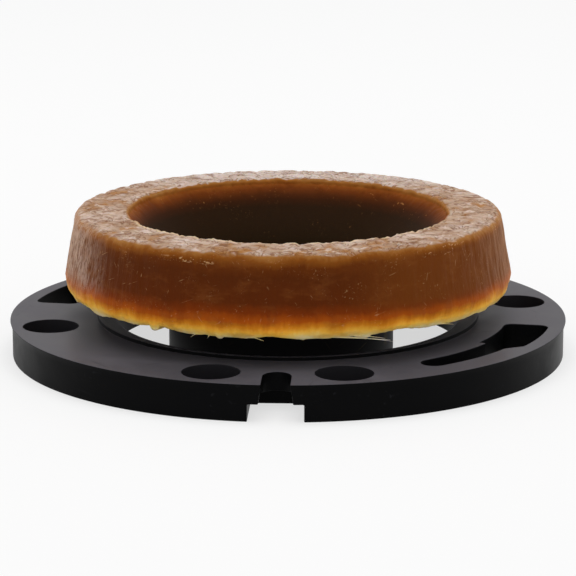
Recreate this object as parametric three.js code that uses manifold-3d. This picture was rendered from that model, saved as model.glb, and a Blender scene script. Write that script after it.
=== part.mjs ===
// A toilet pan seal with its floor flange, in millimetres, +Z up.
// A ring of brown sealing wax is cast round a black plastic horn, and the horn stands in the bore
// of a black flange ring that lies flat on the floor.
// The origin is the centre of the flange ring's underside, at the level of the floor.

import * as THREE from "three";
import { mergeVertices } from "three/addons/utils/BufferGeometryUtils.js";
import Module from "manifold-3d";

const wasm = await Module();
wasm.setup();

// Flange ring, from its bore outwards: a narrow land, a raised rib and a wide flat face
const boreRadius = 55;
const landWidth = 4.7;
const ribWidth = 1.3;
const faceWidth = 27.9;
const flangeThickness = 11.6;
const ribHeight = 1.2;
const ribClearance = 0.4;
const rimDraft = 0.7;
const rimLipHeight = 2.4;
const edgeBreak = 0.6;

// Recessed screw holes, in the face
const screwFromRib = 15.7;
const recessMouthRadius = 8.8;
const recessFloorRadius = 8.2;
const recessDepth = 7.4;
const screwHoleRadius = 3.2;
const screwAngles = [15, 75, 105];

// Keyhole slots for the closet bolts: a narrow channel that opens into a wide pocket
const channelFromRib = 15.3;
const channelWidth = 8;
const channelStartAngle = 124.5;
const pocketStartAngle = 150;
const pocketEndAngle = 171.5;
const pocketWidth = 14;
const pocketShift = 0.7;
const pocketCorner = 3;
const pocketLeadAngle = 4;

// T-slots at the rim: a slot through the top over a wider recess for the bolt's head
const boltSlotFromRib = 10.6;
const boltSlotWidth = 10.6;
const boltSlotCorner = 2.4;
const headRecessFromRib = 6;
const headRecessWidth = 16.8;
const headRecessHeight = 5.3;
const boltSlotAngle = 90;

// Horn: a straight spout that widens into a funnel inside the wax
const spoutRadius = 36;
const hornWall = 2;
const spoutLength = 21;
const spoutEndRound = 1;
const funnelRadius = 49.6;
const funnelHeight = 20.2;
const spoutOffset = -2.2;

// Wax ring
const waxHeight = 24.8;
const waxTopRadius = 68.2;
const waxBulgeRadius = 71.2;
const waxFootRadius = 69.6;
const waxBulgeHeight = 4.6;
const waxTopRound = 3.2;
const waxMouthRadius = 50.6;
const waxMouthRound = 1.6;
const waxClearance = 0.3;
const waxFlatMargin = 9;
const waxWander = 0.35;
const waxRagged = 0.55;

// How finely round forms are faceted
const flangeSegments = 96;
const hornSegments = 60;
const waxSegments = 96;
const holeSegments = 24;
const curveSteps = 5;
const funnelSteps = 5;
const roundSteps = 3;
const cutMargin = 1;

// Heights and radii that follow from the sizes above
const ribInnerRadius = boreRadius + landWidth;
const ribOuterRadius = ribInnerRadius + ribWidth;
const flangeOuterRadius = ribOuterRadius + faceWidth;
const screwPitchRadius = ribOuterRadius + screwFromRib;
const channelRadius = ribOuterRadius + channelFromRib;
const boltSlotBackRadius = ribOuterRadius + boltSlotFromRib;
const headRecessBackRadius = ribOuterRadius + headRecessFromRib;
const counterboreRadius = ribOuterRadius + ribClearance;
const counterboreDepth = ribHeight + ribClearance / 2;
const flangeFootRadius = flangeOuterRadius - rimDraft;
const waxUnderside = spoutLength;
const waxTop = waxUnderside + waxHeight;
const funnelRim = waxUnderside + funnelHeight;

const satinBlack = { color: 0x1b1b1d, roughness: 0.42, metalness: 0 };
const glossBlack = { color: 0x141416, roughness: 0.32, metalness: 0 };
const brownWax = { color: 0x8a5020, roughness: 0.38, metalness: 0 };

const radians = THREE.MathUtils.degToRad;

/** A point of a lathe profile, from its distance to the axis and its height. */
function profilePoint(radius, height) {
  return new THREE.Vector2(radius, height);
}

/** A solid of revolution about Z. The profile runs up its outer side and down its inner side. */
function turned(profile, segments) {
  const geometry = new THREE.LatheGeometry(profile, segments);
  geometry.rotateX(Math.PI / 2);
  return geometry;
}

/** An upright prism of a flat outline, between two heights. */
function prism(outline, low, high) {
  const options = { depth: high - low, bevelEnabled: false, curveSegments: curveSteps };
  const geometry = new THREE.ExtrudeGeometry(outline, options);
  geometry.translate(0, 0, low);
  return geometry;
}

/** The closed solid that a geometry bounds, with its shared corners merged. */
function solidOf(geometry) {
  geometry.deleteAttribute("normal");
  geometry.deleteAttribute("uv");
  const merged = mergeVertices(geometry);
  const corners = merged.index.array;
  const triangles = [];
  for (let i = 0; i < corners.length; i += 3) {
    const [a, b, c] = [corners[i], corners[i + 1], corners[i + 2]];
    const isFlatFace = a !== b && b !== c && c !== a;
    if (isFlatFace) {
      triangles.push(a, b, c);
    }
  }
  const mesh = new wasm.Mesh({
    numProp: 3,
    vertProperties: merged.attributes.position.array,
    triVerts: Uint32Array.from(triangles),
  });
  return new wasm.Manifold(mesh);
}

/** The solid with every cutter taken away from it. */
function cutBy(solid, cutters) {
  return cutters.reduce((rest, cutter) => rest.subtract(solidOf(cutter)), solid);
}

/** A named mesh of a solid in a finish of its own. */
function piece(name, solid, finish) {
  const { vertProperties, triVerts } = solid.getMesh();
  const geometry = new THREE.BufferGeometry();
  geometry.setAttribute("position", new THREE.BufferAttribute(vertProperties, 3));
  geometry.setIndex(new THREE.BufferAttribute(triVerts, 1));
  geometry.computeVertexNormals();
  const mesh = new THREE.Mesh(geometry, new THREE.MeshStandardMaterial(finish));
  mesh.name = name;
  return mesh;
}

/** The flange ring before its holes, with a counterbore below that takes another ring's rib. */
function flangeBlank() {
  const profile = [
    profilePoint(counterboreRadius, 0),
    profilePoint(flangeFootRadius - edgeBreak, 0),
    profilePoint(flangeFootRadius, edgeBreak),
    profilePoint(flangeFootRadius, flangeThickness - rimLipHeight),
    profilePoint(flangeOuterRadius, flangeThickness),
    profilePoint(ribOuterRadius, flangeThickness),
    profilePoint(ribOuterRadius, flangeThickness + ribHeight),
    profilePoint(ribInnerRadius, flangeThickness + ribHeight),
    profilePoint(ribInnerRadius, flangeThickness),
    profilePoint(boreRadius + edgeBreak, flangeThickness),
    profilePoint(boreRadius, flangeThickness - edgeBreak),
    profilePoint(boreRadius, counterboreDepth),
    profilePoint(counterboreRadius, counterboreDepth),
    profilePoint(counterboreRadius, 0),
  ];
  return solidOf(turned(profile, flangeSegments));
}

/** The space of one recessed screw hole, placed at its angle round the ring. */
function screwCutter(angle) {
  const floor = flangeThickness - recessDepth;
  const profile = [
    profilePoint(0, -cutMargin),
    profilePoint(screwHoleRadius, -cutMargin),
    profilePoint(screwHoleRadius, floor),
    profilePoint(recessFloorRadius, floor),
    profilePoint(recessMouthRadius, flangeThickness),
    profilePoint(recessMouthRadius, flangeThickness + cutMargin),
    profilePoint(0, flangeThickness + cutMargin),
  ];
  const geometry = turned(profile, holeSegments);
  geometry.translate(screwPitchRadius, 0, 0);
  geometry.rotateZ(radians(angle));
  return geometry;
}

/** The outline of one keyhole slot, drawn anticlockwise from the channel's inner side. */
function keyholeOutline() {
  const pocketRadius = channelRadius + pocketShift;
  const channelInner = channelRadius - channelWidth / 2;
  const channelOuter = channelRadius + channelWidth / 2;
  const pocketInner = pocketRadius - pocketWidth / 2;
  const pocketOuter = pocketRadius + pocketWidth / 2;
  const start = radians(channelStartAngle);
  const step = radians(pocketStartAngle);
  const end = radians(pocketEndAngle);
  const lead = radians(pocketLeadAngle);
  const at = (radius, angle) => [radius * Math.cos(angle), radius * Math.sin(angle)];
  const channelEnd = start + channelWidth / 2 / channelRadius;
  const outline = new THREE.Shape();
  outline.absarc(0, 0, channelInner, channelEnd, step, false);
  outline.absarc(0, 0, pocketInner, step, end - pocketCorner / pocketInner, false);
  outline.quadraticCurveTo(...at(pocketInner, end), ...at(pocketInner + pocketCorner, end));
  outline.lineTo(...at(pocketOuter - pocketCorner, end));
  outline.quadraticCurveTo(...at(pocketOuter, end), ...at(pocketOuter, end - pocketCorner / pocketOuter));
  outline.absarc(0, 0, pocketOuter, end - pocketCorner / pocketOuter, step + lead / 2, true);
  outline.absarc(0, 0, channelOuter, step - lead / 2, channelEnd, true);
  const [x, y] = at(channelRadius, channelEnd);
  outline.absarc(x, y, channelWidth / 2, channelEnd, channelEnd - Math.PI, true);
  return outline;
}

/** The space of one keyhole slot, turned round the ring. */
function keyholeCutter(turn) {
  const geometry = prism(keyholeOutline(), -cutMargin, flangeThickness + cutMargin);
  geometry.rotateZ(radians(turn));
  return geometry;
}

/** An outline open to the rim, with round corners at its back. */
function rimSlotOutline(width, backRadius, corner) {
  const half = width / 2;
  const front = flangeOuterRadius + cutMargin;
  const outline = new THREE.Shape();
  outline.moveTo(front, -half);
  outline.lineTo(front, half);
  outline.lineTo(backRadius + corner, half);
  outline.absarc(backRadius + corner, half - corner, corner, Math.PI / 2, Math.PI, false);
  outline.absarc(backRadius + corner, corner - half, corner, Math.PI, Math.PI * 1.5, false);
  outline.closePath();
  return outline;
}

/** The two spaces of one T-slot, turned round the ring. */
function boltSlotCutters(angle) {
  const slot = rimSlotOutline(boltSlotWidth, boltSlotBackRadius, boltSlotCorner);
  const recess = rimSlotOutline(headRecessWidth, headRecessBackRadius, boltSlotCorner);
  const cutters = [
    prism(slot, headRecessHeight - cutMargin, flangeThickness + cutMargin),
    prism(recess, -cutMargin, headRecessHeight),
  ];
  cutters.forEach((cutter) => cutter.rotateZ(radians(angle)));
  return cutters;
}

/** The flange ring with its holes and slots, each kind repeated half a turn on. */
function flangeRing() {
  const cutters = [];
  for (const turn of [0, 180]) {
    screwAngles.forEach((angle) => cutters.push(screwCutter(angle + turn)));
    cutters.push(keyholeCutter(turn), ...boltSlotCutters(boltSlotAngle + turn));
  }
  return piece("flange_ring", cutBy(flangeBlank(), cutters), satinBlack);
}

/** Points up the outer side of the funnel, moved outwards by a distance. */
function funnelSide(distance) {
  const curve = new THREE.CubicBezierCurve(
    profilePoint(spoutRadius, waxUnderside),
    profilePoint(spoutRadius, waxUnderside + funnelHeight / 3),
    profilePoint((spoutRadius + funnelRadius) / 2, waxUnderside + (funnelHeight * 3) / 5),
    profilePoint(funnelRadius, funnelRim),
  );
  return curve.getPoints(funnelSteps).map((point) => profilePoint(point.x + distance, point.y));
}

/** Moves the spout off centre, as it was cast, with its funnel leaning back to the ring's axis. */
function leaning(geometry) {
  const position = geometry.attributes.position;
  for (let i = 0; i < position.count; i += 1) {
    const climb = THREE.MathUtils.clamp((position.getZ(i) - waxUnderside) / funnelHeight, 0, 1);
    position.setX(i, position.getX(i) + spoutOffset * (1 - climb));
  }
  return geometry;
}

/** The horn: a round-ended spout and a funnel of one wall. */
function horn() {
  const spoutInner = spoutRadius - hornWall;
  const outerSide = funnelSide(0);
  const innerSide = funnelSide(-hornWall).reverse();
  const profile = [
    profilePoint(spoutInner + spoutEndRound / 2, 0),
    profilePoint(spoutRadius - spoutEndRound, 0),
    profilePoint(spoutRadius, spoutEndRound),
    ...outerSide,
    ...innerSide,
    profilePoint(spoutInner, spoutEndRound / 2),
    profilePoint(spoutInner + spoutEndRound / 2, 0),
  ];
  return piece("horn", solidOf(leaning(turned(profile, hornSegments))), glossBlack);
}

/** How far the cast side wanders in or out at an angle round the ring, from -1 to 1. */
function wander(angle) {
  return (Math.sin(3 * angle) + Math.sin(7 * angle)) / 2;
}

/** How far the foot's edge hangs down or stops short at an angle round the ring, from -1 to 1. */
function ragged(angle) {
  return (Math.sin(11 * angle) + Math.sin(23 * angle)) / 2;
}

/** Gives the wax its hand-cast unevenness: the side wanders and the foot is ragged. */
function uneven(geometry) {
  const { smoothstep } = THREE.MathUtils;
  const position = geometry.attributes.position;
  for (let i = 0; i < position.count; i += 1) {
    const [x, y, z] = [position.getX(i), position.getY(i), position.getZ(i)];
    const angle = Math.atan2(y, x);
    const radius = Math.hypot(x, y);
    const outward = smoothstep(radius, waxFootRadius - waxFlatMargin, waxTopRadius);
    const low = 1 - smoothstep(z, waxUnderside, waxUnderside + waxBulgeHeight);
    const grown = radius + outward * (waxWander * wander(angle) + waxRagged * low * ragged(angle));
    const reach = radius > 0 ? grown / radius : 1;
    position.setXYZ(i, x * reach, y * reach, z + waxRagged * low * outward * ragged(angle));
  }
  return geometry;
}

/** The wax before its hole: a disc flared towards its foot and rounded along both edges. */
function waxBlank() {
  const bulge = waxUnderside + waxBulgeHeight;
  const shoulder = waxTop - waxTopRound;
  const edgeCentre = waxTopRadius - waxTopRound;
  const profile = [
    profilePoint(0, waxUnderside),
    profilePoint(waxFootRadius - waxFlatMargin, waxUnderside),
    profilePoint(waxFootRadius, waxUnderside),
    profilePoint((waxFootRadius + waxBulgeRadius * 2) / 3, waxUnderside + waxBulgeHeight / 3),
    profilePoint(waxBulgeRadius, bulge),
    profilePoint((waxBulgeRadius + waxTopRadius) / 2, (bulge + shoulder) / 2),
  ];
  for (let step = 0; step <= roundSteps; step += 1) {
    const turn = ((Math.PI / 2) * step) / roundSteps;
    const radius = edgeCentre + waxTopRound * Math.cos(turn);
    profile.push(profilePoint(radius, shoulder + waxTopRound * Math.sin(turn)));
  }
  profile.push(profilePoint(0, waxTop));
  return solidOf(uneven(turned(profile, waxSegments)));
}

/** The space inside the wax: the mouth, a lip over the funnel's rim, and the horn's own form. */
function waxCavity() {
  const profile = [
    profilePoint(0, waxUnderside - waxRagged - cutMargin),
    profilePoint(spoutRadius + waxClearance, waxUnderside - waxRagged - cutMargin),
    ...funnelSide(waxClearance),
    profilePoint(funnelRadius + waxClearance, funnelRim + waxClearance),
    profilePoint(funnelRadius - hornWall, funnelRim + waxClearance),
    profilePoint(waxMouthRadius, waxTop - waxMouthRound),
    profilePoint(waxMouthRadius + waxMouthRound / 3, waxTop - waxMouthRound / 3),
    profilePoint(waxMouthRadius + waxMouthRound, waxTop),
    profilePoint(waxMouthRadius + waxMouthRound, waxTop + cutMargin),
    profilePoint(0, waxTop + cutMargin),
  ];
  return leaning(turned(profile, waxSegments));
}

/** The wax ring cast round the horn. */
function waxRing() {
  return piece("wax_ring", cutBy(waxBlank(), [waxCavity()]), brownWax);
}

const seal = new THREE.Group();
seal.add(flangeRing(), horn(), waxRing());

export default seal;
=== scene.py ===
"""A toilet pan seal: brown sealing wax cast round a black horn, standing in its flange ring.

All lengths are in metres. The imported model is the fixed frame. Every piece here is a finer
copy of one of its solids, in the same place and at the same size.
"""

import logging
import math
from dataclasses import dataclass
from enum import Enum
from functools import cached_property, partial, reduce

import bpy
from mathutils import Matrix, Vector, noise


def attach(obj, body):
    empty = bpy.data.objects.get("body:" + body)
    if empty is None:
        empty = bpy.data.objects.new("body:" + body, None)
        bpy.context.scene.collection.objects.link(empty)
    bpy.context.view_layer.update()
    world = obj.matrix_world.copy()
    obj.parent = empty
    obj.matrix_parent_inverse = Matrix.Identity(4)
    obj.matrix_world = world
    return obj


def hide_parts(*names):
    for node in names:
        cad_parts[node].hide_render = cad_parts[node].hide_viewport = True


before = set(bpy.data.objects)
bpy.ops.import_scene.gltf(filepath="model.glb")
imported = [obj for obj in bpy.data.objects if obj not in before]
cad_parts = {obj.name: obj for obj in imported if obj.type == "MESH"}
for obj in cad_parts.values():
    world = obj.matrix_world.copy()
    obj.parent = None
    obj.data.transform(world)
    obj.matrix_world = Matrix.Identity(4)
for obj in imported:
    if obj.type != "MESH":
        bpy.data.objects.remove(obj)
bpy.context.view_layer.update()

LOG = logging.getLogger("pan_seal")
MM = 0.001
TAU = math.tau
QUARTER = math.pi / 2
WELD = 0.001 * MM
IMAGE_SIDE = 576

Point = tuple[float, float]
Colour = tuple[float, float, float, float]
Stops = tuple[tuple[float, Colour], ...]
Piece = bpy.types.Object
Material = bpy.types.Material
Tree = bpy.types.NodeTree
Socket = bpy.types.NodeSocket


class Turn(Enum):
    """The two like places of a feature that the flange ring repeats half a turn on."""

    FIRST = 0.0
    SECOND = math.pi


def colour(red: int, green: int, blue: int) -> Colour:
    """Turns a display colour into the linear colour that a shader takes.

    Args:
        red: Red, from 0 to 255.
        green: Green, from 0 to 255.
        blue: Blue, from 0 to 255.

    Returns:
        The linear colour, with full alpha.
    """
    levels = [level / 255 for level in (red, green, blue)]
    linear = [level / 12.92 if level <= 0.04045 else ((level + 0.055) / 1.055) ** 2.4
              for level in levels]
    return (*linear, 1.0)


WHITE = colour(255, 255, 255)
PAPER = colour(250, 250, 250)
WAX_DEPTH = {
    "Subsurface Weight": 0.22, "Subsurface Radius": (1.0, 0.4, 0.12), "Subsurface Scale": 1.4 * MM,
}
# The wax's side, from the flash below its foot, at 0, to its top edge, at 1. Its pale yellow foot is
# painted glow, as of light shining through the thin wax.
SIDE_STOPS: Stops = (
    (0.0, colour(250, 240, 220)), (0.07, colour(252, 232, 178)), (0.11, colour(255, 214, 116)),
    (0.155, colour(250, 188, 68)), (0.21, colour(218, 136, 32)), (0.275, colour(170, 80, 13)),
    (0.364, colour(122, 50, 8)), (0.473, colour(92, 39, 8)), (0.76, colour(86, 38, 9)),
    (0.86, colour(98, 46, 11)), (0.935, colour(134, 75, 21)), (1.0, colour(168, 116, 58)),
)
# The wax inside the mouth, from its edge, at 0, down to the dark film, at 1.
MOUTH_STOPS: Stops = (
    (0.0, colour(176, 124, 66)), (0.05, colour(160, 98, 38)), (0.1, colour(136, 72, 21)),
    (0.16, colour(108, 52, 13)), (0.23, colour(80, 38, 10)), (0.3, colour(60, 30, 10)),
    (0.4, colour(44, 26, 10)), (1.0, colour(38, 25, 10)),
)
# The film inside the horn's funnel, from its foot, at 0, to the horn's rim, at 1.
FUNNEL_STOPS: Stops = (
    (0.0, colour(30, 20, 10)), (0.3, colour(33, 21, 9)), (0.73, colour(37, 23, 9)),
    (0.83, colour(44, 25, 9)), (0.93, colour(58, 29, 10)), (1.0, colour(74, 35, 11)),
)


def smoothstep(value: float, low: float, high: float) -> float:
    """Rises smoothly from 0 at low to 1 at high, for either order of the two.

    Args:
        value: Where to read the step.
        low: The value that gives 0.
        high: The value that gives 1.

    Returns:
        A number from 0 to 1.
    """
    share = min(1.0, max(0.0, (value - low) / (high - low)))
    return share * share * (3 - 2 * share)


def polar(radius: float, angle: float) -> Point:
    """The (x, y) point at a radius and an angle."""
    return (radius * math.cos(angle), radius * math.sin(angle))


def arc(centre: Point, radius: float, start: float, end: float, steps: int) -> list[Point]:
    """Points along a circular arc, both ends included.

    Args:
        centre: The centre of the arc.
        radius: Its radius.
        start: The angle of its first point, in radians.
        end: The angle of its last point, in radians.
        steps: How many steps the arc has.

    Returns:
        The points, in order.
    """
    angles = [start + (end - start) * i / steps for i in range(steps + 1)]
    return [(centre[0] + radius * math.cos(a), centre[1] + radius * math.sin(a)) for a in angles]


def deselect_all() -> None:
    """Leaves nothing selected, so that the next operator acts on its own piece alone."""
    if bpy.context.object and bpy.context.object.mode != "OBJECT":
        bpy.ops.object.mode_set(mode="OBJECT")
    bpy.ops.object.select_all(action="DESELECT")


def take(piece: Piece) -> None:
    """Selects one piece alone and makes it the active one."""
    deselect_all()
    piece.select_set(True)
    bpy.context.view_layer.objects.active = piece


def whole_mesh_in_edit(piece: Piece) -> None:
    """Opens a piece in edit mode with all of its mesh selected."""
    take(piece)
    bpy.ops.object.mode_set(mode="EDIT")
    bpy.ops.mesh.select_all(action="SELECT")


def face_outwards() -> None:
    """Points every face of the mesh that is open in edit mode outwards, and closes it."""
    bpy.ops.mesh.select_all(action="SELECT")
    bpy.ops.mesh.normals_make_consistent(inside=False)
    bpy.ops.object.mode_set(mode="OBJECT")


def outlined(name: str, corners: list[tuple[float, float, float]], fill: str) -> Piece:
    """Draws a closed outline and leaves it open in edit mode, selected.

    Args:
        name: The name of the new piece.
        corners: The outline's points, without the first one repeated.
        fill: How the circle operator fills it.

    Returns:
        The outline, as a mesh.
    """
    deselect_all()
    bpy.ops.mesh.primitive_circle_add(vertices=len(corners), radius=1.0, fill_type=fill)
    piece = bpy.context.object
    piece.name = piece.data.name = name
    for vertex, corner in zip(piece.data.vertices, corners):
        vertex.co = corner
    whole_mesh_in_edit(piece)
    return piece


def spun(name: str, outline: list[Point], steps: int) -> Piece:
    """Spins a closed outline of (radius, height) points once round the Z axis.

    Args:
        name: The name of the new piece.
        outline: The closed outline, without its first point repeated.
        steps: How many steps the full turn has.

    Returns:
        The closed ring, with its faces pointing out.
    """
    ring = outlined(name, [(radius, 0.0, height) for radius, height in outline], "NOTHING")
    bpy.ops.mesh.spin(steps=steps, angle=TAU, center=(0, 0, 0), axis=(0, 0, 1), use_auto_merge=True)
    bpy.ops.mesh.select_all(action="SELECT")
    bpy.ops.mesh.remove_doubles(threshold=WELD)
    bpy.ops.mesh.delete_loose()
    face_outwards()
    return ring


def prism(name: str, outline: list[Point], low: float, high: float,
          narrowing: float = 1.0, shift: float = 0.0) -> Piece:
    """Extrudes a flat closed outline of (x, y) points upwards.

    Args:
        name: The name of the new piece.
        outline: The closed outline, without its first point repeated.
        low: The height of its lower face.
        high: The height of its upper face.
        narrowing: How wide its upper face is along Y, as a share of the lower one.
        shift: How far its upper face lies along X from the lower one.

    Returns:
        The closed prism, with its faces pointing out.
    """
    block = outlined(name, [(x, y, low) for x, y in outline], "NGON")
    bpy.ops.mesh.extrude_region_move(TRANSFORM_OT_translate={"value": (0, 0, high - low)})
    bpy.ops.transform.resize(value=(1, narrowing, 1), center_override=(0, 0, high))
    bpy.ops.transform.translate(value=(shift, 0, 0))
    face_outwards()
    return block


def settle(piece: Piece, offset: Vector, turn: float) -> None:
    """Moves a piece by an offset, then turns it about the Z axis, and puts both in its mesh.

    Args:
        piece: The piece to place.
        offset: How far it moves first.
        turn: How far it turns about Z afterwards, in radians.
    """
    take(piece)
    piece.rotation_euler = (0, 0, turn)
    x = offset.x * math.cos(turn) - offset.y * math.sin(turn)
    y = offset.x * math.sin(turn) + offset.y * math.cos(turn)
    piece.location = (x, y, offset.z)
    bpy.ops.object.transform_apply(location=True, rotation=True, scale=True)


def cut(piece: Piece, cutter: Piece) -> None:
    """Cuts one closed mesh out of another and removes the cutter."""
    take(piece)
    knife = piece.modifiers.new("cut", "BOOLEAN")
    knife.operation = "DIFFERENCE"
    knife.solver = "EXACT"
    knife.object = cutter
    bpy.ops.object.modifier_apply(modifier=knife.name)
    bpy.data.objects.remove(cutter, do_unlink=True)


def soften_edges(piece: Piece, width: float, segments: int, sharper_than: float) -> None:
    """Rounds every edge of a piece that is sharper than an angle, and shades it smooth.

    Args:
        piece: The piece to finish.
        width: The width of the rounding.
        segments: How many faces go round each edge.
        sharper_than: The least angle that is rounded, in radians.
    """
    take(piece)
    bevel = piece.modifiers.new("soft_edges", "BEVEL")
    bevel.width = width
    bevel.segments = segments
    bevel.limit_method = "ANGLE"
    bevel.angle_limit = sharper_than
    bevel.use_clamp_overlap = False
    bevel.miter_outer = "MITER_ARC"
    bpy.ops.object.modifier_apply(modifier=bevel.name)
    bpy.ops.object.shade_smooth_by_angle(angle=sharper_than)
    evened = piece.modifiers.new("even_shading", "WEIGHTED_NORMAL")
    evened.weight = 100
    evened.keep_sharp = True
    bpy.ops.object.modifier_apply(modifier=evened.name)


def dress(piece: Piece, material: Material, node: str | None = None) -> None:
    """Gives a piece its material and its place in the record.

    Args:
        piece: The finished piece.
        material: Its material.
        node: The CAD node that it stands for, if any.
    """
    piece.data.materials.clear()
    piece.data.materials.append(material)
    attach(piece, "root")
    if node:
        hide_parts(node)


class NodeBench:
    """Lays shader nodes on one node tree and joins their sockets.

    Args:
        tree: The node tree to work on.
    """

    def __init__(self, tree: Tree) -> None:
        """Keeps the tree."""
        self.tree = tree

    def put(self, kind: str, inputs: dict | None = None, **settings: object) -> bpy.types.Node:
        """Adds one node, sets its options, and joins or fills its inputs.

        Args:
            kind: The node's type name.
            inputs: A socket to join, or a value to set, for each input by name or number.
            **settings: The node's own options.

        Returns:
            The new node.
        """
        node = self.tree.nodes.new(kind)
        for key, value in settings.items():
            setattr(node, key, value)
        for key, value in (inputs or {}).items():
            if isinstance(value, Socket):
                self.tree.links.new(value, node.inputs[key])
            else:
                node.inputs[key].default_value = value
        return node

    def maths(self, operation: str, *values: object) -> Socket:
        """Joins numbers by one arithmetic step and returns the result's socket."""
        return self.put("ShaderNodeMath", dict(enumerate(values)), operation=operation).outputs[0]

    def times(self, *values: object) -> Socket:
        """Multiplies values, one after another."""
        return reduce(partial(self.maths, "MULTIPLY"), values)

    def plus(self, *values: object) -> Socket:
        """Adds values, one after another."""
        return reduce(partial(self.maths, "ADD"), values)

    def most(self, *values: object) -> Socket:
        """Takes the greatest of the values."""
        return reduce(partial(self.maths, "MAXIMUM"), values)

    def less(self, first: object, second: object) -> Socket:
        """Takes the second value from the first."""
        return self.maths("SUBTRACT", first, second)

    def span(self, value: object, low: float, high: float, kind: str = "LINEAR") -> Socket:
        """Rises from 0 at low to 1 at high, evenly or by another kind of step."""
        inputs = {"Value": value, "From Min": low, "From Max": high}
        return self.put("ShaderNodeMapRange", inputs, interpolation_type=kind).outputs["Result"]

    def band(self, value: object, low: float, high: float) -> Socket:
        """Rises smoothly from 0 at low to 1 at high."""
        return self.span(value, low, high, "SMOOTHSTEP")

    def noise(self, vector: object, scale: object, detail: float = 3.0,
              roughness: float = 0.55, distortion: float = 0.0) -> Socket:
        """Adds a noise texture and returns the socket of its value."""
        inputs = {"Vector": vector, "Scale": scale, "Detail": detail,
                  "Roughness": roughness, "Distortion": distortion}
        return self.put("ShaderNodeTexNoise", inputs).outputs[0]

    def stretched(self, vector: object, scale: tuple[float, float, float]) -> Socket:
        """Scales coordinates by a different amount along each axis."""
        return self.put("ShaderNodeMapping", {"Vector": vector, "Scale": scale}).outputs[0]

    def ramp(self, value: object, stops: Stops) -> Socket:
        """Adds a colour ramp with the given stops and returns the socket of its colour."""
        node = self.put("ShaderNodeValToRGB", {"Fac": value})
        elements = node.color_ramp.elements
        while len(elements) < len(stops):
            elements.new(0.5)
        for element, (place, shade) in zip(elements, stops):
            element.position = place
            element.color = shade
        return node.outputs["Color"]

    def mix(self, share: object, first: object, second: object) -> Socket:
        """Blends two colours and returns the socket of the result."""
        inputs = {0: share, 6: first, 7: second}
        return self.put("ShaderNodeMix", inputs, data_type="RGBA", blend_type="MIX").outputs[2]


class GroupBench(NodeBench):
    """The bench of a new shader node group.

    Args:
        name: The group's name.
        takes: The names of its inputs.
        gives: The names of its outputs.
    """

    VECTORS = ("Vector", "Laid Flat")

    def __init__(self, name: str, takes: tuple[str, ...], gives: tuple[str, ...]) -> None:
        """Makes the group's tree and its sockets."""
        super().__init__(bpy.data.node_groups.new(name, "ShaderNodeTree"))
        for direction, labels in (("INPUT", takes), ("OUTPUT", gives)):
            for label in labels:
                kind = "NodeSocketVector" if label in self.VECTORS else "NodeSocketFloat"
                self.tree.interface.new_socket(label, in_out=direction, socket_type=kind)
        self.given = self.put("NodeGroupInput").outputs

    def give(self, results: dict[str, Socket]) -> Tree:
        """Joins the results to the group's outputs and returns the group."""
        self.put("NodeGroupOutput", results)
        return self.tree


class Effects:
    """The shader node groups that more than one finish uses."""

    def __init__(self) -> None:
        """Builds each group once."""
        self.mottle = self._mottle_group()
        self.unrolled = self._unrolled_group()
        self.scuffs = self._scuff_group()
        self.flecks = self._fleck_group()

    def _mottle_group(self) -> Tree:
        """Cloudy patches over a fine grain, as on a moulded skin or handled wax."""
        bench = GroupBench("cloud_and_grain", ("Vector", "Cloud Scale", "Grain Scale"),
                           ("Cloud", "Grain"))
        given = bench.given
        cloud = bench.noise(given["Vector"], given["Cloud Scale"], 4.0, 0.6, 0.4)
        grain = bench.noise(given["Vector"], given["Grain Scale"], 2.0, 0.5)
        return bench.give({"Cloud": cloud, "Grain": grain})

    def _unrolled_group(self) -> Tree:
        """The object's round wall laid out flat: along the wall, then upwards, then outwards."""
        bench = GroupBench("round_wall_laid_flat", ("Vector", "Wall Radius"), ("Laid Flat", "Radius"))
        x, y, z = bench.put("ShaderNodeSeparateXYZ", {0: bench.given["Vector"]}).outputs
        angle = bench.maths("ARCTAN2", x, bench.times(y, -1.0))
        along = bench.times(angle, bench.given["Wall Radius"])
        square = bench.plus(bench.maths("POWER", x, 2.0), bench.maths("POWER", y, 2.0))
        radius = bench.maths("SQRT", square)
        flat = bench.put("ShaderNodeCombineXYZ", {"X": along, "Y": z, "Z": radius}).outputs[0]
        return bench.give({"Laid Flat": flat, "Radius": radius})

    def _scuff_group(self) -> Tree:
        """Thin straight scratches in three directions, in patches, as a mask from 0 to 1."""
        bench = GroupBench("straight_scratches", ("Vector", "Scale", "Amount"), ("Scratch",))
        given = bench.given
        mask: object = 0.0
        for turn in (-38.0, 12.0, 68.0):
            turned = bench.put("ShaderNodeMapping", {
                "Vector": given["Vector"], "Rotation": (0.0, 0.0, math.radians(turn)),
            }).outputs[0]
            drawn = bench.stretched(turned, (1.0, 0.055, 1.0))
            lines = bench.noise(drawn, given["Scale"], 1.0, 0.5, 0.3)
            mask = bench.most(mask, bench.band(lines, 0.7, 0.8))
        rarer = bench.times(given["Scale"], 0.12)
        patchy = bench.band(bench.noise(given["Vector"], rarer), 0.46, 0.62)
        return bench.give({"Scratch": bench.times(mask, patchy, given["Amount"])})

    def _fleck_group(self) -> Tree:
        """Small irregular flakes that lie in loose clusters, as a mask from 0 to 1."""
        bench = GroupBench("clustered_flakes", ("Vector", "Scale", "Cluster Scale"), ("Flake",))
        given = bench.given
        bits = bench.band(bench.noise(given["Vector"], given["Scale"], 3.0, 0.7), 0.6, 0.68)
        clusters = bench.noise(given["Vector"], given["Cluster Scale"], 2.0, 0.5)
        return bench.give({"Flake": bench.times(bits, bench.band(clusters, 0.52, 0.66))})


def new_material(name: str) -> Material:
    """Makes a material with an empty node tree."""
    material = bpy.data.materials.new(name)
    material.use_nodes = True
    material.node_tree.nodes.clear()
    return material


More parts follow.
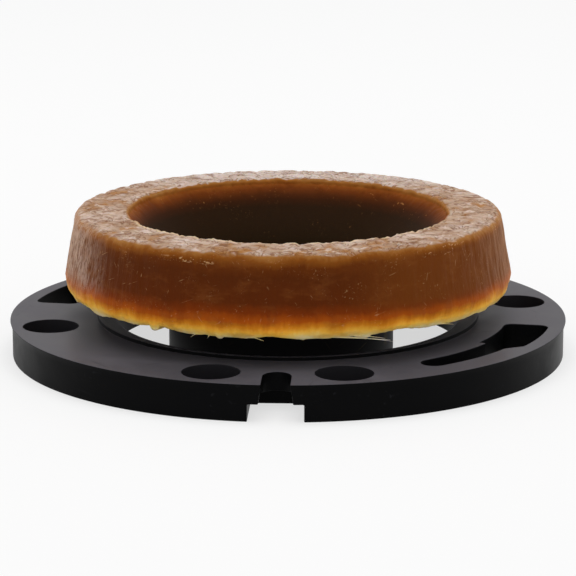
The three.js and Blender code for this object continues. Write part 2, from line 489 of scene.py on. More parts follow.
class FinishBench(NodeBench):
    """The bench of a new material, with the coordinates and shared groups that finishes use.

    Args:
        name: The material's name.
        effects: The shared shader groups.
    """

    def __init__(self, name: str, effects: Effects) -> None:
        """Makes the material and its coordinates."""
        self.material = new_material(name)
        super().__init__(self.material.node_tree)
        self.effects = effects
        self.place = self.put("ShaderNodeTexCoord").outputs["Object"]

    @cached_property
    def at(self) -> bpy.types.NodeOutputs:
        """The point's own X, Y and Z, made once and only where a finish reads them."""
        return self.put("ShaderNodeSeparateXYZ", {0: self.place}).outputs

    def shared(self, tree: Tree, **inputs: object) -> bpy.types.NodeOutputs:
        """Puts one shared group on the bench, with spaces for the underscores in its inputs."""
        named = {key.replace("_", " "): value for key, value in inputs.items()}
        return self.put("ShaderNodeGroup", named, node_tree=tree).outputs

    def mottle(self, cloud: float, grain: float) -> bpy.types.NodeOutputs:
        """Cloudy patches and a fine grain, at their two scales."""
        return self.shared(self.effects.mottle, Vector=self.place, Cloud_Scale=cloud,
                           Grain_Scale=grain)

    def unrolled(self, radius: float) -> bpy.types.NodeOutputs:
        """The round wall of a radius laid flat, and the distance from the axis."""
        return self.shared(self.effects.unrolled, Vector=self.place, Wall_Radius=radius)

    def scratches(self, vector: Socket, scale: float, amount: float) -> Socket:
        """Straight scratches, by their scale and amount."""
        return self.shared(self.effects.scuffs, Vector=vector, Scale=scale, Amount=amount)[0]

    def flakes(self, vector: Socket, scale: float, cluster: float) -> Socket:
        """Clustered flakes, by the scales of the flakes and of their clusters."""
        return self.shared(self.effects.flecks, Vector=vector, Scale=scale, Cluster_Scale=cluster)[0]

    def upward(self) -> Socket:
        """How far the surface faces up, from -1 to 1."""
        normal = self.put("ShaderNodeNewGeometry").outputs["Normal"]
        return self.put("ShaderNodeSeparateXYZ", {0: normal}).outputs["Z"]

    def finished(self, look: dict, relief: Socket, strength: float, depth: float) -> Material:
        """Joins the shader and its relief to the material's output.

        Args:
            look: The shader's own inputs by name.
            relief: The height of the fine relief.
            strength: How strongly the relief shows.
            depth: How deep it is.

        Returns:
            The finished material.
        """
        raised = {"Height": relief, "Strength": strength, "Distance": depth}
        bump = self.put("ShaderNodeBump", raised).outputs["Normal"]
        shader = self.put("ShaderNodeBsdfPrincipled", {**look, "Normal": bump})
        self.put("ShaderNodeOutputMaterial", {"Surface": shader.outputs[0]})
        return self.material


@dataclass(frozen=True)
class BlackPlastic:
    """Black moulded plastic: near black walls, and upper faces painted a satin grey, a painted sheen
    that stands in for their grazing reflection.
    """

    name: str
    shade: Colour = colour(6, 6, 7)
    # Painted sheen: the grey of the upper faces stands in for the light that they reflect.
    painted_sheen: Colour = colour(78, 76, 81)
    painted_sheen_patch: Colour = colour(89, 87, 93)
    # Painted light on the gently sloped walls of the screw recesses.
    recess_painted_light: Colour = colour(36, 35, 38)
    scuffed: Colour = colour(34, 34, 37)
    recess_from: float = 64 * MM
    roughness: float = 0.4
    refraction: float = 1.12
    cloud_scale: float = 45.0
    grain_scale: float = 900.0
    grain_depth: float = 0.03 * MM

    def build(self, effects: Effects) -> Material:
        """Makes the material.

        Args:
            effects: The shared shader groups.

        Returns:
            The finished material.
        """
        bench = FinishBench(self.name, effects)
        skin = bench.mottle(self.cloud_scale, self.grain_scale)
        scratch = bench.scratches(bench.place, 520.0, 0.5)
        speck = bench.times(bench.flakes(bench.place, 700.0, 42.0), 0.22)
        patches = bench.band(skin["Cloud"], 0.35, 0.7)
        upward = bench.upward()
        # The upper faces take the painted sheen, in patches.
        upper = bench.mix(patches, self.painted_sheen, self.painted_sheen_patch)
        radius = bench.unrolled(1.0)["Radius"]
        # Painted light: gently sloped faces at the screw recesses are painted greyer, as if their
        # walls caught light.
        sloped = bench.times(bench.band(upward, 0.03, 0.07), bench.band(upward, 0.5, 0.2))
        recess = bench.times(sloped, bench.band(radius, self.recess_from, self.recess_from + 1 * MM))
        walls = bench.mix(recess, self.shade, self.recess_painted_light)
        base = bench.mix(bench.band(upward, 0.6, 0.98), walls, upper)
        tone = bench.mix(bench.most(scratch, speck), base, self.scuffed)
        dull = bench.maths("MULTIPLY_ADD", patches, 0.12, self.roughness - 0.06)
        relief = bench.less(skin["Grain"], bench.times(scratch, 0.6))
        look = {"Base Color": tone, "Roughness": dull, "IOR": self.refraction}
        return bench.finished(look, relief, 0.35, self.grain_depth)


@dataclass(frozen=True)
class FunnelPlastic:
    """The horn's plastic: bare black on the spout, with a brown film of wax inside the funnel."""

    name: str
    film_from: float
    rim: float
    smear_at: tuple[float, float, float]
    smear_size: float = 3.4 * MM
    shade: Colour = colour(15, 14, 16)
    smear: Colour = colour(58, 46, 20)
    smudge: Colour = colour(50, 36, 17)
    scuffed: Colour = colour(84, 72, 50)
    roughness: float = 0.48
    refraction: float = 1.13
    wall_radius: float = 40 * MM

    def build(self, effects: Effects) -> Material:
        """Makes the material.

        Args:
            effects: The shared shader groups.

        Returns:
            The finished material.
        """
        bench = FinishBench(self.name, effects)
        laid = bench.unrolled(self.wall_radius)["Laid Flat"]
        skin = bench.mottle(70.0, 800.0)
        film = bench.band(bench.at["Z"], self.film_from, self.film_from + 4 * MM)
        wobble = bench.times(bench.less(skin["Cloud"], 0.5), 6 * MM)
        level = bench.span(bench.plus(bench.at["Z"], wobble), self.film_from, self.rim)
        film_tone = bench.mix(bench.band(skin["Cloud"], 0.56, 0.74), bench.ramp(level, FUNNEL_STOPS),
                              self.smudge)
        reach = bench.put("ShaderNodeVectorMath", {0: bench.place, 1: self.smear_at},
                          operation="DISTANCE").outputs["Value"]
        smear = bench.band(bench.plus(reach, bench.times(skin["Grain"], 2 * MM)),
                           self.smear_size + 1 * MM, self.smear_size - 0.5 * MM)
        tone = bench.mix(film, bench.mix(smear, self.shade, self.smear), film_tone)
        tone = bench.mix(bench.scratches(laid, 900.0, 0.35), tone, self.scuffed)
        look = {"Base Color": tone, "Roughness": self.roughness, "IOR": self.refraction}
        return bench.finished(look, skin["Grain"], 0.4, 0.04 * MM)


@dataclass(frozen=True)
class SealingWax:
    """Brown translucent wax: creased on top, with a painted pale reflection there, dark at mid height,
    and yellow at its thin foot, where the glow of light through the wax is painted.
    """

    name: str
    foot: float
    top: float
    mouth_radius: float
    edge_radius: float
    # The pale and paler top tones are painted reflection: the wax's brown with the white reflection of
    # the light painted over it.
    pale: Colour = colour(174, 142, 118)
    paler_reflection: Colour = colour(206, 184, 170)
    golden: Colour = colour(164, 112, 60)
    # Painted highlight on the top's raised ridges.
    ridge_highlight: Colour = colour(224, 208, 200)
    # Painted reflection on the far part of the top.
    far_top_reflection: Colour = colour(222, 212, 208)
    # The wax's own brown, laid darker in the top's creases as painted shade.
    shaded_crease: Colour = colour(112, 64, 28)
    # The pale burr of the mouth's front edge, painted as a highlight, on the front only.
    burr: Colour = colour(238, 214, 178)
    # Painted reflection on the left end of the side: greyer, with upright wrinkles.
    left_end_reflection: Colour = colour(184, 156, 140)
    # Painted light on the side of the ring's right half.
    lit: Colour = colour(112, 58, 16)
    lip: Colour = colour(170, 114, 56)
    smudge: Colour = colour(134, 78, 34)
    # The colour of scratches and flakes, and of the painted glints along the top edge.
    mark: Colour = colour(220, 176, 124)
    roughness: float = 0.46
    refraction: float = 1.1
    flash_depth: float = 2.5 * MM
    sheen: float = 0.34
    sheen_tint: Colour = (1.0, 0.56, 0.26, 1.0)
    sparkle_from: float = -38 * MM
    sparkle_to: float = -18 * MM

    def top_tone(self, bench: FinishBench, cloud: Socket) -> tuple[Socket, Socket]:
        """The creased skin of the top face.

        Args:
            bench: The material's bench.
            cloud: The shared cloudy mask.

        Returns:
            The colour of the skin, and the mask of its creases.
        """
        place = bench.place
        broad = bench.noise(place, 120.0, 3.0, 0.55, 0.8)
        fine = bench.noise(place, 300.0, 3.0, 0.6, 0.5)
        deep = bench.band(bench.maths("ABSOLUTE", bench.less(broad, 0.5)), 0.04, 0.0)
        thin = bench.band(bench.maths("ABSOLUTE", bench.less(fine, 0.5)), 0.05, 0.0)
        broken = bench.band(bench.noise(place, 200.0, 2.0, 0.5), 0.38, 0.6)
        grit = bench.band(bench.noise(place, 1100.0, 2.0, 0.6), 0.62, 0.72)
        shaded_crease = bench.most(bench.times(deep, 0.85), bench.times(thin, broken, 0.7),
                            bench.times(grit, 0.5))
        # The top's pale patches are a painted reflection.
        pale = bench.mix(bench.band(cloud, 0.4, 0.66), self.pale, self.paler_reflection)
        tone = bench.mix(bench.band(cloud, 0.46, 0.34), pale, self.golden)
        # Painted highlights along the raised ridges of the top.
        tone = bench.mix(bench.times(bench.band(fine, 0.56, 0.66), 0.6), tone, self.ridge_highlight)
        # The far part of the top is painted paler, as a painted reflection.
        far = bench.times(bench.band(bench.at["Y"], 30 * MM, 56 * MM), 0.6)
        tone = bench.mix(far, tone, self.far_top_reflection)
        # The creases are painted darker, as shade, in the wax's brown.
        return bench.mix(bench.times(shaded_crease, 0.9), tone, self.shaded_crease), shaded_crease

    def burr_highlight_line(self, bench: FinishBench, tone: Socket, radius: Socket) -> Socket:
        """Lays the thin pale burr of the mouth's front edge, painted as a bright highlight line, over
        the top's colour.
        """
        line = bench.band(radius, self.mouth_radius + 2.3 * MM, self.mouth_radius + 1.5 * MM)
        torn = bench.band(bench.noise(bench.place, 330.0, 3.0, 0.6), 0.34, 0.52)
        front = bench.band(bench.at["Y"], -12 * MM, -30 * MM)
        return bench.mix(bench.times(line, torn, front, 0.8), tone, self.burr)

    def paint_left_end_reflection(self, bench: FinishBench, tone: Socket, laid: Socket, folds: Socket,
                 share: Socket) -> Socket:
        """Lays greyer skin with upright wrinkles over the side's left end, a painted reflection of
        light from that side.

        Args:
            bench: The material's bench.
            tone: The side's colour.
            laid: The wall's flat coordinates.
            folds: The upright folds of the wax.
            share: How high on the side, from 0 to 1.

        Returns:
            The new colour of the side.
        """
        end = bench.band(bench.at["X"], -52 * MM, -67 * MM)
        wrinkles = bench.noise(bench.stretched(laid, (1.0, 0.22, 1.0)), 1500.0, 3.0, 0.6)
        left_end_reflection = bench.times(end, bench.band(folds, 0.3, 0.5), bench.band(share, 0.24, 0.44),
                          bench.band(wrinkles, 0.36, 0.54), 0.85)
        return bench.mix(left_end_reflection, tone, self.left_end_reflection)

    def lit_side(self, bench: FinishBench, tone: Socket, share: Socket) -> Socket:
        """Lays painted light, which makes the side of the ring's right half lighter, over the side's
        colour.
        """
        light = bench.times(bench.band(bench.at["X"], 14 * MM, 42 * MM), bench.band(share, 0.28, 0.44),
                            bench.band(share, 0.96, 0.84), 0.8)
        return bench.mix(light, tone, self.lit)

    def sparkles(self, bench: FinishBench, laid: Socket) -> Socket:
        """The row of painted glints under the top edge, at the front left."""
        along = bench.put("ShaderNodeSeparateXYZ", {0: laid}).outputs["X"]
        glint_noise = bench.noise(bench.stretched(laid, (0.5, 1.0, 1.0)), 1300.0, 3.0, 0.65)
        return bench.times(
            bench.band(along, self.sparkle_from, self.sparkle_from + 5 * MM),
            bench.band(along, self.sparkle_to, self.sparkle_to - 5 * MM),
            bench.band(bench.at["Z"], self.top - 3.9 * MM, self.top - 3.2 * MM),
            bench.band(bench.at["Z"], self.top - 1.9 * MM, self.top - 2.6 * MM),
            bench.band(glint_noise, 0.52, 0.6))

    def build(self, effects: Effects) -> Material:
        """Makes the material.

        Args:
            effects: The shared shader groups.

        Returns:
            The finished material.
        """
        bench = FinishBench(self.name, effects)
        wall = bench.unrolled(self.edge_radius)
        laid = wall["Laid Flat"]
        skin = bench.mottle(90.0, 1500.0)
        combed = bench.noise(bench.stretched(laid, (1.0, 0.12, 1.0)), 620.0, 3.0, 0.6)
        share = bench.span(bench.at["Z"], self.foot - self.flash_depth, self.top)
        wobble = bench.times(bench.less(skin["Cloud"], 0.5), 0.18)
        comb = bench.times(bench.less(combed, 0.5), 0.05)
        side = bench.ramp(bench.plus(share, bench.plus(wobble, comb)), SIDE_STOPS)
        side = self.lit_side(bench, side, share)
        side = self.paint_left_end_reflection(bench, side, laid, combed, share)
        top, shaded_crease = self.top_tone(bench, skin["Cloud"])
        top = self.burr_highlight_line(bench, top, wall["Radius"])
        is_top = bench.band(bench.upward(), 0.72, 0.97)
        inside = bench.band(wall["Radius"], self.mouth_radius + 1.2 * MM, self.mouth_radius + 0.1 * MM)
        tone = bench.mix(inside, bench.mix(is_top, side, top), self.lip)
        not_top = bench.less(1.0, is_top)
        outer_side = bench.times(not_top, bench.less(1.0, inside))
        # Pale flakes near the top edge, which also stand in as painted glints.
        edge_glint_flakes = bench.flakes(bench.stretched(laid, (0.6, 1.0, 1.0)), 1100.0, 60.0)
        near_edge = bench.band(bench.at["Z"], self.top - 5 * MM, self.top - 2.4 * MM)
        marks = bench.most(
            bench.scratches(laid, 1900.0, 0.34), bench.times(edge_glint_flakes, near_edge, 0.6),
            self.sparkles(bench, laid), bench.times(bench.flakes(laid, 1400.0, 130.0), 0.3))
        marks = bench.times(marks, not_top, bench.less(1.0, bench.times(inside, 0.75)))
        smudge = bench.noise(bench.stretched(laid, (0.5, 1.0, 1.0)), 210.0, 3.0, 0.65)
        smudge = bench.times(bench.band(smudge, 0.48, 0.72), outer_side, 0.3)
        tone = bench.mix(marks, bench.mix(smudge, tone, self.smudge), self.mark)
        rough = bench.maths("MULTIPLY_ADD", skin["Cloud"], 0.22, self.roughness - 0.11)
        combing = bench.times(combed, bench.maths("MULTIPLY_ADD", outer_side, 0.9, 0.5))
        relief = bench.plus(bench.times(shaded_crease, is_top, -0.9), bench.times(skin["Grain"], 0.25),
                            combing, bench.times(marks, 0.5))
        look = {"Base Color": tone, "Roughness": rough, "IOR": self.refraction, **WAX_DEPTH,
                "Sheen Weight": self.sheen, "Sheen Roughness": 0.38, "Sheen Tint": self.sheen_tint}
        return bench.finished(look, relief, 0.8, 0.25 * MM)


@dataclass(frozen=True)
class WaxFilm:
    """The wax inside the mouth: golden at its edge, then a dark film over the horn's funnel."""

    name: str
    top: float
    wall_radius: float
    depth: float = 20 * MM
    mark: Colour = colour(190, 128, 70)
    roughness: float = 0.55
    refraction: float = 1.1

    def build(self, effects: Effects) -> Material:
        """Makes the material.

        Args:
            effects: The shared shader groups.

        Returns:
            The finished material.
        """
        bench = FinishBench(self.name, effects)
        laid = bench.unrolled(self.wall_radius)["Laid Flat"]
        skin = bench.mottle(90.0, 1500.0)
        down = bench.span(bench.at["Z"], self.top, self.top - self.depth)
        uneven = bench.times(bench.less(skin["Cloud"], 0.5), bench.band(down, 0.5, 0.1), 0.16)
        tone = bench.ramp(bench.plus(down, uneven), MOUTH_STOPS)
        scratch = bench.times(bench.scratches(laid, 1000.0, 0.5), bench.band(down, 0.42, 0.2))
        marks = bench.most(scratch, bench.times(bench.flakes(laid, 900.0, 80.0), 0.14))
        tone = bench.mix(marks, tone, self.mark)
        look = {"Base Color": tone, "Roughness": self.roughness, "IOR": self.refraction, **WAX_DEPTH}
        return bench.finished(look, skin["Grain"], 0.5, 0.08 * MM)


@dataclass
class FlangeRing:
    """The black flange ring that lies on the floor, with its rib, screw recesses and slots."""

    bore_radius: float = 55 * MM
    land_width: float = 4.7 * MM
    rib_width: float = 1.3 * MM
    face_width: float = 27.9 * MM
    thickness: float = 11.6 * MM
    rib_height: float = 1.2 * MM
    rib_clearance: float = 0.4 * MM
    rim_draft: float = 0.7 * MM
    rim_lip: float = 2.4 * MM
    screw_from_rib: float = 15.7 * MM
    recess_mouth: float = 8.8 * MM
    recess_floor: float = 8.2 * MM
    recess_depth: float = 7.4 * MM
    screw_hole: float = 3.2 * MM
    screw_angles: tuple[float, ...] = (15.0, 75.0, 105.0)
    channel_from_rib: float = 15.3 * MM
    channel_width: float = 8 * MM
    channel_start: float = math.radians(124.5)
    pocket_start: float = math.radians(150)
    pocket_end: float = math.radians(171.5)
    pocket_lead: float = math.radians(4)
    pocket_width: float = 14 * MM
    pocket_shift: float = 0.7 * MM
    pocket_corner: float = 3 * MM
    slot_from_rib: float = 10.6 * MM
    slot_width: float = 10.6 * MM
    slot_back: float = 0.49
    slot_narrowing: float = 0.79
    slot_slope: float = 2 * MM
    head_corner: float = 2.4 * MM
    head_from_rib: float = 6 * MM
    head_width: float = 16.8 * MM
    head_height: float = 5.3 * MM
    slot_angle: float = QUARTER
    margin: float = 1 * MM
    seams: tuple[float, ...] = (0.0, 15.0, 45.0, 75.0, 90.0, 105.0, 135.0, 160.0)
    flat_within: float = math.radians(0.3)
    least_edge: float = 0.1 * MM
    steps: int = 256
    hole_steps: int = 48
    corner_steps: int = 6
    edge_round: float = 0.3 * MM
    edge_faces: int = 2
    rounded_over: float = math.radians(28)

    @property
    def rib_outer(self) -> float:
        """The outer radius of the rib, from which the face and its holes are laid out."""
        return self.bore_radius + self.land_width + self.rib_width

    def blank(self) -> Piece:
        """Spins the ring before its holes."""
        rim = self.rib_outer + self.face_width
        foot = rim - self.rim_draft
        counterbore = self.rib_outer + self.rib_clearance
        ledge = self.rib_height + self.rib_clearance / 2
        rib_inner = self.bore_radius + self.land_width
        crest = self.thickness + self.rib_height
        outline = [
            (counterbore, 0.0), (foot, 0.0), (foot, self.thickness - self.rim_lip),
            (rim, self.thickness), (self.rib_outer, self.thickness), (self.rib_outer, crest),
            (rib_inner, crest), (rib_inner, self.thickness), (self.bore_radius, self.thickness),
            (self.bore_radius, ledge), (counterbore, ledge),
        ]
        return spun("flange_body", outline, self.steps)

    def screw_cutter(self, angle: float) -> Piece:
        """Makes the space of one recessed screw hole at an angle round the ring."""
        floor = self.thickness - self.recess_depth
        above = self.thickness + self.margin
        outline = [
            (0.0, -self.margin), (self.screw_hole, -self.margin), (self.screw_hole, floor),
            (self.recess_floor, floor), (self.recess_mouth, self.thickness),
            (self.recess_mouth, above), (0.0, above),
        ]
        cutter = spun("screw_space", outline, self.hole_steps)
        settle(cutter, Vector((self.rib_outer + self.screw_from_rib, 0, 0)), angle)
        return cutter

    def keyhole_outline(self) -> list[Point]:
        """Draws one keyhole slot, anticlockwise from the channel's inner side."""
        middle = self.rib_outer + self.channel_from_rib
        pocket = middle + self.pocket_shift
        inner, outer = pocket - self.pocket_width / 2, pocket + self.pocket_width / 2
        half = self.channel_width / 2
        start = self.channel_start + half / middle
        step, end, lead = self.pocket_start, self.pocket_end, self.pocket_lead
        corner, count = self.pocket_corner, self.corner_steps
        inner_turn, outer_turn = corner / (inner + corner), corner / (outer - corner)
        inner_centre = polar(inner + corner, end - inner_turn)
        outer_centre = polar(outer - corner, end - outer_turn)
        outline = arc((0, 0), middle - half, start, step, 2 * count)
        outline += arc((0, 0), inner, step, end - inner_turn, 2 * count)
        outline += arc(inner_centre, corner, end + math.pi, end + QUARTER, count)[1:]
        outline += arc(outer_centre, corner, end + QUARTER, end, count)
        outline += arc((0, 0), outer, end - outer_turn, step + lead / 2, 2 * count)[1:]
        outline += arc((0, 0), middle + half, step - lead / 2, start, 2 * count)
        outline += arc(polar(middle, start), half, start, start - math.pi, 2 * count)[1:-1]
        return outline

    def rim_slot_outline(self, width: float, back: float, corner: float) -> list[Point]:
        """Draws an outline that is open to the rim and round at its back corners.

        Args:
            width: How wide it is.
            back: The radius of its back end.
            corner: The radius of its back corners.

        Returns:
            The outline, round the X axis.
        """
        half, across, count = width / 2, back + corner, self.corner_steps
        front = self.rib_outer + self.face_width + self.margin
        outline = [(front, -half), (front, half)]
        outline += arc((across, half - corner), corner, QUARTER, 2 * QUARTER, count)
        outline += arc((across, corner - half), corner, 2 * QUARTER, 3 * QUARTER, count)
        return outline

    def cutters(self, turn: Turn) -> list[Piece]:
        """Makes the holes and slots of one half of the ring.

        Args:
            turn: Which half they are for.

        Returns:
            The cutters, in their places.
        """
        above = self.thickness + self.margin
        made = [self.screw_cutter(math.radians(angle) + turn.value) for angle in self.screw_angles]
        keyhole = prism("keyhole_space", self.keyhole_outline(), -self.margin, above)
        settle(keyhole, Vector((0, 0, 0)), turn.value)
        slot = self.rim_slot_outline(self.slot_width, self.rib_outer + self.slot_from_rib,
                                     self.slot_width * self.slot_back)
        shank = prism("shank_space", slot, self.head_height - self.margin, above,
                      self.slot_narrowing, self.slot_slope)
        recess = self.rim_slot_outline(self.head_width, self.rib_outer + self.head_from_rib,
                                       self.head_corner)
        head = prism("head_space", recess, -self.margin, self.head_height)
        for cutter in (shank, head):
            settle(cutter, Vector((0, 0, 0)), self.slot_angle + turn.value)
        return [*made, keyhole, shank, head]

    def tidy_faces(self, ring: Piece) -> None:
        """Clears the cuts' leftovers and parts the flat faces along a few radial lines."""
        whole_mesh_in_edit(ring)
        bpy.ops.mesh.dissolve_limited(angle_limit=self.flat_within)
        for seam in self.seams:
            across = math.radians(seam)
            bpy.ops.mesh.select_all(action="SELECT")
            bpy.ops.mesh.bisect(plane_co=(0, 0, 0), plane_no=(-math.sin(across), math.cos(across), 0))
        bpy.ops.mesh.select_all(action="SELECT")
        bpy.ops.mesh.remove_doubles(threshold=self.least_edge)
        bpy.ops.object.mode_set(mode="OBJECT")

    def build(self, finish: BlackPlastic, effects: Effects) -> Piece:
        """Builds and dresses the ring.

        Args:
            finish: The ring's finish.
            effects: The shared shader groups.

        Returns:
            The finished piece.
        """
        ring = self.blank()
        for turn in Turn:
            for cutter in self.cutters(turn):
                cut(ring, cutter)
        self.tidy_faces(ring)
        soften_edges(ring, self.edge_round, self.edge_faces, self.rounded_over)
        dress(ring, finish.build(effects), "flange_ring")
        return ring


@dataclass
class Horn:
    """The black horn: a straight spout that widens into a funnel inside the wax."""

    spout_radius: float = 36 * MM
    wall: float = 2 * MM
    spout_length: float = 21 * MM
    end_round: float = 1 * MM
    funnel_radius: float = 49.6 * MM
    funnel_height: float = 20.2 * MM
    spout_offset: float = -2.2 * MM
    steps: int = 256
    funnel_steps: int = 24
    smooth_below: float = math.radians(40)

    @property
    def rim(self) -> float:
        """The height of the funnel's rim."""
        return self.spout_length + self.funnel_height

    def side(self, distance: float) -> list[Point]:
        """Points up the funnel's outer side, moved outwards by a distance."""
        foot, height = self.spout_length, self.funnel_height
        ends = [
            (self.spout_radius, foot), (self.spout_radius, foot + height / 3),
            ((self.spout_radius + self.funnel_radius) / 2, foot + height * 0.6),
            (self.funnel_radius, foot + height),
        ]
        points = []
        for i in range(self.funnel_steps + 1):
            t = i / self.funnel_steps
            shares = ((1 - t) ** 3, 3 * t * (1 - t) ** 2, 3 * t * t * (1 - t), t ** 3)
            radius, level = (sum(share * end[k] for share, end in zip(shares, ends)) for k in (0, 1))
            points.append((radius + distance, level))
        return points

    def inner_radius(self, height: float) -> float:
        """The radius of the funnel's inner side at a height."""
        points = self.side(-self.wall)
        for (r0, z0), (r1, z1) in zip(points, points[1:]):
            if z0 <= height <= z1:
                return r0 + (r1 - r0) * (height - z0) / (z1 - z0)
        return points[-1][0]

    def lean(self, height: float) -> float:
        """How far off centre the horn was cast at a height."""
        climb = min(1.0, max(0.0, (height - self.spout_length) / self.funnel_height))
        return self.spout_offset * (1 - climb)

    def build(self, finish: FunnelPlastic, effects: Effects) -> Piece:
        """Builds and dresses the horn.

        Args:
            finish: The horn's finish.
            effects: The shared shader groups.

        Returns:
            The finished piece.
        """
        inner, curl, half = self.spout_radius - self.wall, self.end_round, self.wall / 2
        outline = arc((self.spout_radius - curl, curl), curl, -QUARTER, 0, 6)
        outline += [*self.side(0)[:-1], (self.funnel_radius, self.rim - half)]
        outline += arc((self.funnel_radius - half, self.rim - half), half, 0, 2 * QUARTER, 8)[1:]
        outline += list(reversed(self.side(-self.wall)))[1:]
        outline += arc((inner + curl / 2, curl / 2), curl / 2, 2 * QUARTER, 3 * QUARTER, 4)
        horn = spun("horn_body", outline, self.steps)
        for vertex in horn.data.vertices:
            vertex.co.x += self.lean(vertex.co.z)
        take(horn)
        bpy.ops.object.shade_smooth_by_angle(angle=self.smooth_below)
        dress(horn, finish.build(effects), "horn")
        return horn


@dataclass(frozen=True)
class Waver:
    """Unevenness of the cast wax: how close its bumps lie, and their depth in millimetres."""

    scale: float
    depth: float

    def at(self, place: Vector) -> float:
        """Its height at a point, in millimetres."""
        return noise.noise(place * self.scale) * self.depth


@dataclass
class WaxRing:
    """The hand-cast wax ring, flared to a ragged foot, with a creased skin on top."""

    underside: float = 21 * MM
    height: float = 24.8 * MM
    top_radius: float = 68.2 * MM
    bulge_radius: float = 71.2 * MM
    foot_radius: float = 69.6 * MM
    bulge_height: float = 4.6 * MM
    top_round: float = 3.2 * MM
    mouth_radius: float = 50.6 * MM
    mouth_round: float = 1.6 * MM
    lip_levels: tuple[float, ...] = (0.2, 1.2, 2.4, *range(4, 20, 2))
    lip_thickness: float = 0.4 * MM
    lip_gap: float = 0.05 * MM
    clearance: float = 0.3 * MM
    flat_margin: float = 9 * MM
    wander: float = 0.35 * MM
    ragged: float = 0.75 * MM
    burr: float = 0.35 * MM
    film_edge: float = 0.35 * MM
    lumps: Waver = Waver(160, 0.16)
    wrinkles: Waver = Waver(210, 1.5)
    wrinkle_seed: tuple[float, float, float] = (5, 1, 3)
    crumple: Waver = Waver(420, 0.22)
    stripes: Waver = Waver(300, 0.08)
    crumbs: tuple[Waver, Waver] = (Waver(800, 0.22), Waver(250, 0.2))
    drip_places: tuple[tuple[float, float, float], ...] = (
        (237.4, 1.6, 1.5), (255.4, 0.9, 0.6), (273.4, 3.2, 0.4), (291.4, 2.2, 0.6), (199.4, 1.5, 0.6),
        (331.4, 2.3, 0.6), (18.4, 2.4, 0.7), (82.4, 1.4, 1.0), (146.4, 2.2, 0.6),
    )
    spacing: float = 0.55 * MM
    steps: int = 640

    @property
    def top(self) -> float:
        """The height of the top face."""
        return self.underside + self.height

    def spaced(self, points: list[Point]) -> list[Point]:
        """Fills the stretches between points with more points, an even distance apart.

        Args:
            points: The corner points of an open outline.

        Returns:
            The outline without its last point.
        """
        filled = []
        for (r0, z0), (r1, z1) in zip(points, points[1:]):
            count = max(1, round(math.hypot(r1 - r0, z1 - z0) / self.spacing))
            filled += [(r0 + (r1 - r0) * i / count, z0 + (z1 - z0) * i / count) for i in range(count)]
        return filled

    def outline(self, horn: Horn) -> list[Point]:
        """Draws the closed outline of the ring's section, from the foot of the cavity outwards."""
        rounding = arc((self.top_radius - self.top_round, self.top - self.top_round), self.top_round,
                       0, QUARTER, 8)
        edge = arc((self.mouth_radius + self.mouth_round, self.top - self.mouth_round),
                   self.mouth_round, QUARTER, 2 * QUARTER, 6)
        visible = [
            (self.foot_radius - self.flat_margin, self.underside),
            (self.foot_radius, self.underside),
            ((self.foot_radius + self.bulge_radius * 2) / 3, self.underside + self.bulge_height / 3),
            (self.bulge_radius, self.underside + self.bulge_height), *rounding, *edge,
        ]
        film = self.lip(horn)
        cavity = list(reversed(horn.side(self.clearance)))[::3]
        closing = [(horn.funnel_radius + self.clearance, horn.rim + self.clearance), *cavity]
        return self.spaced([*visible, film[0]]) + film + closing

    def lip(self, horn: Horn) -> list[Point]:
        """The wax's thin film, which runs over the horn's rim and thins out down the funnel."""
        count = len(self.lip_levels)
        inside = [(self.mouth_radius - 1.7 * MM, horn.rim + 1.5 * MM)]
        behind = []
        for i, level in enumerate(self.lip_levels):
            height = horn.rim - level * MM
            wall = horn.inner_radius(height) - self.lip_gap
            inside.append((wall - self.lip_thickness * (1 - i / count), height))
            behind.append((wall, height))
        foot = horn.rim - (self.lip_levels[-1] + 1) * MM
        tucked = (horn.inner_radius(foot) + self.lip_gap, foot)
        over_rim = (horn.funnel_radius - horn.wall, horn.rim + self.clearance)
        return [*inside, tucked, *reversed(behind), over_rim]

    def swell(self, place: Vector, normal: Vector) -> Vector:
        """How far one point of the cast skin lies from the plain form.

        Args:
            place: The point on the plain form.
            normal: The plain form's normal there.

        Returns:
            The offset to add.
        """
        angle = math.atan2(place.y, place.x)
        radius = math.hypot(place.x, place.y)
        outward = Vector((place.x, place.y, 0)) / radius
        out = smoothstep(radius, self.foot_radius - self.flat_margin, self.top_radius)
        low = 1 - smoothstep(place.z, self.underside, self.underside + self.bulge_height)
        slow = (math.sin(3 * angle) + math.sin(7 * angle)) / 2
        torn = (math.sin(11 * angle) + math.sin(23 * angle)) / 2
        offset = outward * (out * (self.wander * slow + self.ragged * low * torn))
        offset.z += self.ragged * low * out * torn
        offset += normal * (self.skin(place, normal, radius) * MM)
        fringe = low * out * smoothstep(place.z, self.underside + 3 * MM, self.underside)
        drop = max(0.0, noise.noise(Vector((place.x * 90, place.y * 90, 2.0))) - 0.15) * 1.1
        drop += max(0.0, noise.noise(Vector((place.x * 480, place.y * 480, 4.0))) - 0.25) * 0.5
        offset.z -= fringe * (drop + self.drips(angle)) * MM
        brow = smoothstep(abs(radius - self.mouth_radius - 1.3 * MM), 0.9 * MM, 0.0)
        brow *= smoothstep(place.z, self.top - 1.2 * MM, self.top - 0.4 * MM)
        front = smoothstep(place.y, -12 * MM, -30 * MM)
        offset.z += self.burr * brow * front * (0.4 + max(0.0, noise.noise(place * 700)) * 1.6)
        return offset

